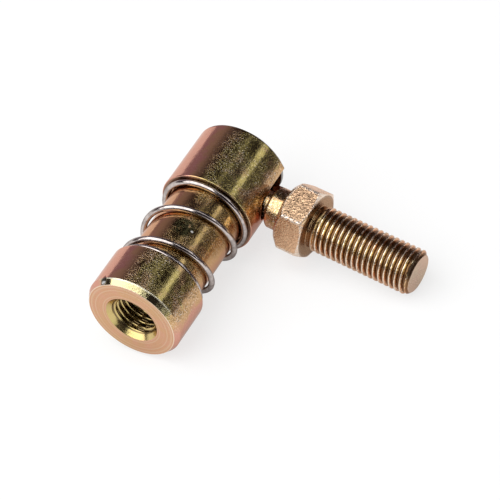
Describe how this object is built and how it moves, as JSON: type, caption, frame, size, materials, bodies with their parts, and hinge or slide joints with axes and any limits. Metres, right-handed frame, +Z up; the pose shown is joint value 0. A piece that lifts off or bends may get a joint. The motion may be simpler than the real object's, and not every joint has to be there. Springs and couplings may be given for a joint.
{
  "type": "angle ball joint",
  "caption": "Right-angle ball joint whose ball stud is held in a tapped socket body by a spring-loaded release sleeve.",
  "frame": {"origin": "centre of the ball and its socket", "axes": "-Y along the tapped rod hole, out of its mouth; +Z up as the joint lies at rest; the stud points towards +X, a little below level"},
  "size_m": [0.0567, 0.0488, 0.021],
  "materials": {
    "turned_zinc": "yellow chromate zinc plate on turned steel, mottled",
    "stud_zinc": "yellow chromate zinc plate, pink-gold",
    "spring_wire": "bright drawn spring wire",
    "ring_steel": "phosphated spring steel"
  },
  "bodies": {
    "socket": {"socket_body": "turned_zinc", "sleeve_spring": "spring_wire", "retaining_ring": "ring_steel"},
    "sleeve": {"release_sleeve": "turned_zinc"},
    "stud": {"ball_stud": "stud_zinc"}
  },
  "joints": [
    {"name": "sleeve_slide", "type": "slide", "parent": "socket", "child": "sleeve", "axis": [0, 1, 0], "range_m": [-0.0137, 0], "stiffness_N_per_m": 1000, "springref_m": 0.009, "deforming": ["sleeve_spring"]},
    {"name": "stud_swing", "type": "hinge", "parent": "socket", "child": "stud", "pos_m": [0, 0, 0], "axis": [0.1229, 0, 0.9924], "range_deg": [-5.5, 22]}
  ]
}
